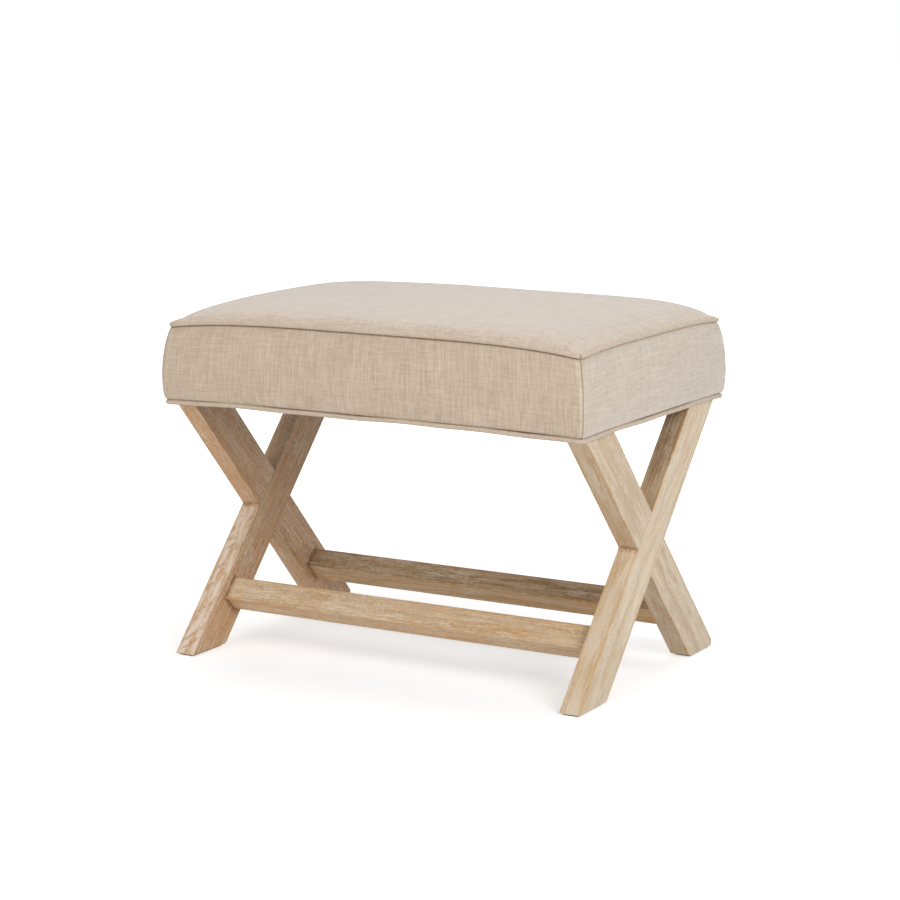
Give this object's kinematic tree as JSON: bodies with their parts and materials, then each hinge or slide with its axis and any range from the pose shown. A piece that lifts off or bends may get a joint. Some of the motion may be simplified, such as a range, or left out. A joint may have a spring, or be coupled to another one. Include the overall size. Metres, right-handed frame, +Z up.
{
  "type": "ottoman",
  "caption": "Upholstered bench ottoman with a crowned, piped box cushion seat on two crossed wooden leg frames joined by stretchers.",
  "frame": {"origin": "on the floor, under the middle of the bench", "axes": "+X along the seat towards the right-hand leg frame, +Y from the front to the back, +Z up"},
  "size_m": [0.6546, 0.4446, 0.5006],
  "materials": {
    "limed_oak": "limed, brushed and matt lacquered, with pale lime left in the open grain",
    "beech": "bare",
    "felt": "pressed dark brown felt",
    "frame_pine": "planed and bare",
    "plywood": "sanded and bare",
    "zinc_steel": "zinc plated",
    "insert_brass": "plain",
    "foam": "open-cell polyurethane foam",
    "polyester_batting": "fluffy white polyester",
    "linen_cover": "natural linen plain weave with slubs",
    "cambric": "non-woven, matt"
  },
  "bodies": {
    "root": {"leg_front_left": "limed_oak", "leg_back_left": "limed_oak", "leg_front_right": "limed_oak", "leg_back_right": "limed_oak", "stretcher_front": "limed_oak", "stretcher_back": "limed_oak", "stretcher_dowels": "beech", "foot_pad_front_left": "felt", "foot_pad_back_left": "felt", "foot_pad_front_right": "felt", "foot_pad_back_right": "felt", "end_rail_left": "frame_pine", "end_rail_right": "frame_pine", "front_rail": "frame_pine", "back_rail": "frame_pine", "cross_rail": "frame_pine", "corner_blocks": "frame_pine", "deck_panel": "plywood", "leg_bolts": "zinc_steel", "leg_washers": "zinc_steel", "leg_inserts": "insert_brass", "rail_screws": "zinc_steel", "deck_screws": "zinc_steel", "foam_core": "foam", "batting": "polyester_batting", "cover_top": "linen_cover", "cover_front": "linen_cover", "cover_back": "linen_cover", "cover_left": "linen_cover", "cover_right": "linen_cover", "piping_top": "linen_cover", "piping_bottom": "linen_cover", "dust_cover": "cambric", "staples": "zinc_steel"}
  },
  "joints": []
}
